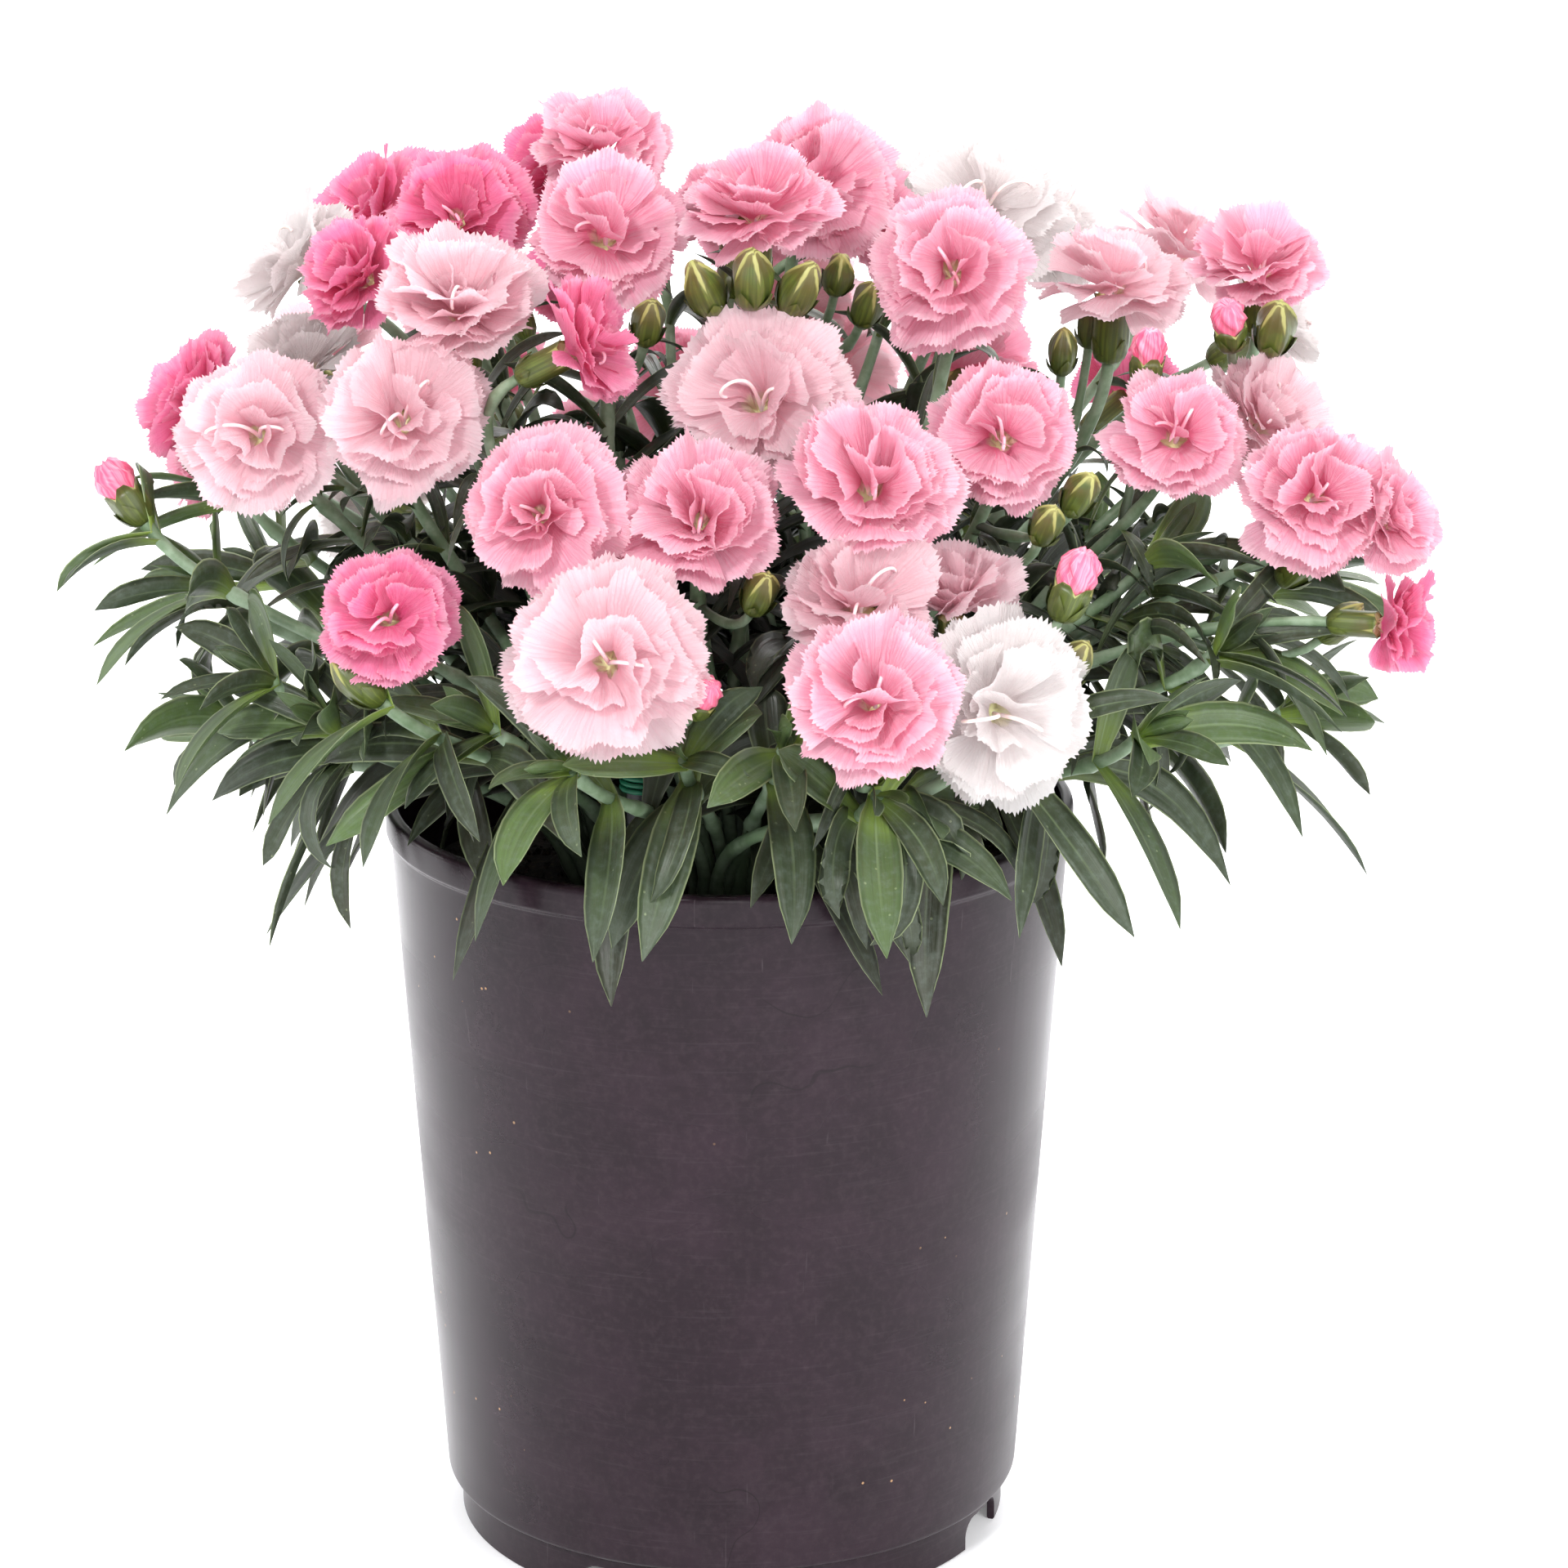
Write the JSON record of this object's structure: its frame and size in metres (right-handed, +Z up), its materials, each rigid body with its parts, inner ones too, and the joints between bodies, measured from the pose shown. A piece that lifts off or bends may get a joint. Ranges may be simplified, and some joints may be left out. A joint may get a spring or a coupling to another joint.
{
  "type": "potted dianthus plant",
  "caption": "Bushy dianthus (garden pink) with double pink, rose, blush and white blooms over narrow grey-green leaves, in a round tapered dark plastic nursery pot.",
  "frame": {"origin": "centre of the pot's foot, on the surface it stands on", "axes": "+Z up the plant and the pot's axis, -Y towards the side the plant is seen from, +X to the right seen from there"},
  "size_m": [0.3312, 0.2822, 0.3543],
  "materials": {
    "pot_plastic": "satin injection-moulded polypropylene, brown-black, with light scuffs and pale dust specks",
    "potting_mix": "dark, moist, crumbly peat-based potting mix",
    "stake_plastic": "smooth dark plastic stick",
    "wire_coating": "glossy green plastic coating of a tie wire",
    "foliage": "glaucous grey-green leaves and stems with a soft waxy sheen, young growth brighter green",
    "petals_rose": "soft translucent petals, deep rose pink with paler toothed edges",
    "petals_pink": "soft translucent petals, mid pink with paler toothed edges",
    "petals_blush": "soft translucent petals, pale blush pink, nearly white at the toothed edges",
    "petals_white": "soft translucent petals, faded to white with a trace of pink"
  },
  "bodies": {
    "root": {"pot": "pot_plastic", "soil": "potting_mix", "stake": "stake_plastic", "tie_wire": "wire_coating", "bloom_01": "petals_pink", "bloom_02": "petals_rose", "bloom_03": "petals_rose", "bloom_04": "petals_white", "bloom_05": "petals_white", "bloom_06": "petals_rose", "bloom_07": "petals_rose", "bloom_08": "petals_blush", "bloom_09": "petals_pink", "bloom_10": "petals_rose", "bloom_11": "petals_pink", "bloom_12": "petals_pink", "bloom_13": "petals_white", "bloom_14": "petals_pink", "bloom_15": "petals_white", "bloom_17": "petals_blush", "bloom_18": "petals_blush", "bloom_19": "petals_pink", "bloom_20": "petals_white", "bloom_21": "petals_blush", "bloom_22": "petals_pink", "bloom_23": "petals_pink", "bloom_24": "petals_pink", "bloom_25": "petals_blush", "bloom_26": "petals_pink", "bloom_28": "petals_rose", "bloom_29": "petals_rose", "bloom_30": "petals_blush", "bloom_31": "petals_white", "bloom_32": "petals_blush", "bloom_33": "petals_pink", "bloom_34": "petals_pink", "bloom_35": "petals_rose", "bloom_36": "petals_blush", "bloom_37": "petals_rose", "bloom_38": "petals_blush", "bloom_39": "petals_pink", "bloom_40": "petals_white", "bloom_42": "petals_pink", "bloom_43": "petals_pink", "bloom_44": "petals_rose", "bloom_45": "petals_blush", "bloom_46": "petals_pink", "bloom_47": "petals_pink", "bloom_48": "petals_pink", "bloom_49": "petals_blush", "bloom_50": "petals_rose", "bloom_51": "petals_pink", "bloom_54": "petals_white", "bloom_55": "petals_white", "plant_front": "foliage", "plant_front_right": "foliage", "plant_back_right": "foliage", "plant_back": "foliage", "plant_back_left": "foliage", "plant_front_left": "foliage"}
  },
  "joints": []
}
